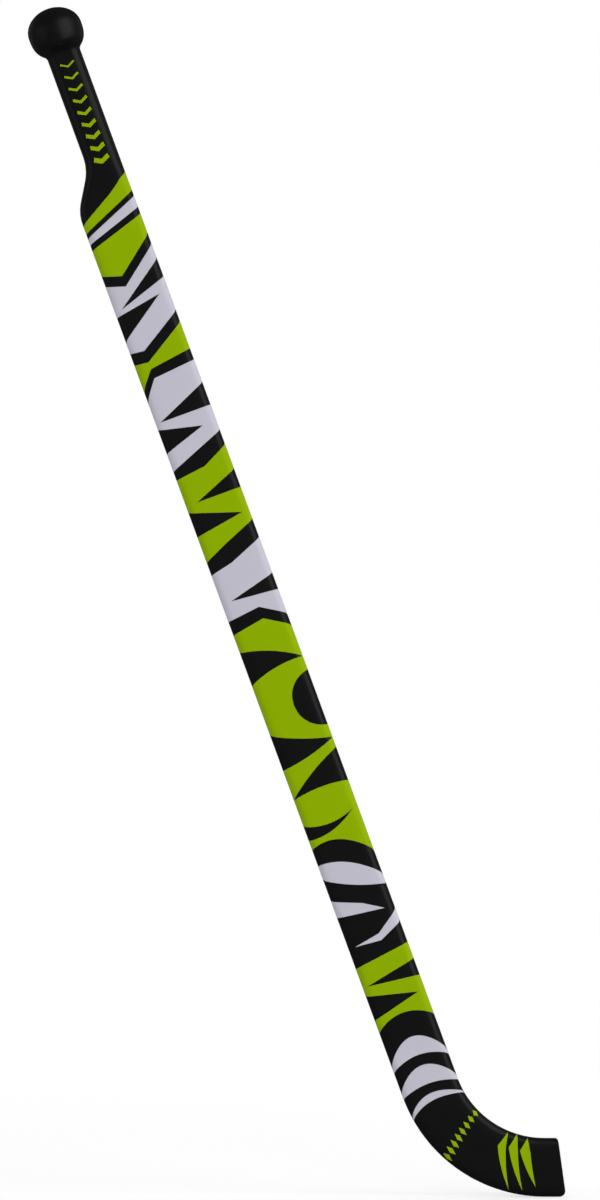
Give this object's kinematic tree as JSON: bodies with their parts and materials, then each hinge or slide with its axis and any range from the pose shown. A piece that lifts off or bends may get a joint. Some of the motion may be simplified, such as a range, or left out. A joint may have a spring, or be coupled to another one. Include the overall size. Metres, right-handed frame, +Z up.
{
  "type": "roller hockey goalie stick",
  "caption": "Goalie's stick for roller hockey: slim rounded handle with a ball knob, stepped shoulder, broad flat laminated shaft and a short hooked blade with a slanting toe.",
  "frame": {"origin": "middle of the handle, on its axis, where the stick is gripped", "axes": "+Z up with the stick leaning as it is held, its sole level at the toe; +X from the handle towards the toe; -Y out of the front face"},
  "size_m": [0.4439, 0.0454, 0.9788],
  "materials": {
    "edge_hardwood": "planed ash, glued",
    "core_wood": "planed light poplar, glued",
    "glass_fibre": "woven glass fibre in cured resin",
    "printed_film": "satin-gloss printed film, black with lime and pale grey shapes",
    "toe_resin": "brushed-on black sealing resin",
    "knob_paint": "turned wood under satin black paint"
  },
  "bodies": {
    "root": {"ply_01_hardwood": "edge_hardwood", "ply_02_hardwood": "edge_hardwood", "ply_03_core": "core_wood", "ply_04_core": "core_wood", "ply_05_core": "core_wood", "ply_06_core": "core_wood", "ply_07_core": "core_wood", "ply_08_core": "core_wood", "ply_09_core": "core_wood", "ply_10_core": "core_wood", "ply_11_hardwood": "edge_hardwood", "ply_12_hardwood": "edge_hardwood", "front_glass_sheet": "glass_fibre", "back_glass_sheet": "glass_fibre", "front_printed_film": "printed_film", "back_printed_film": "printed_film", "toe_end_coat": "toe_resin", "ball_knob": "knob_paint"}
  },
  "joints": []
}
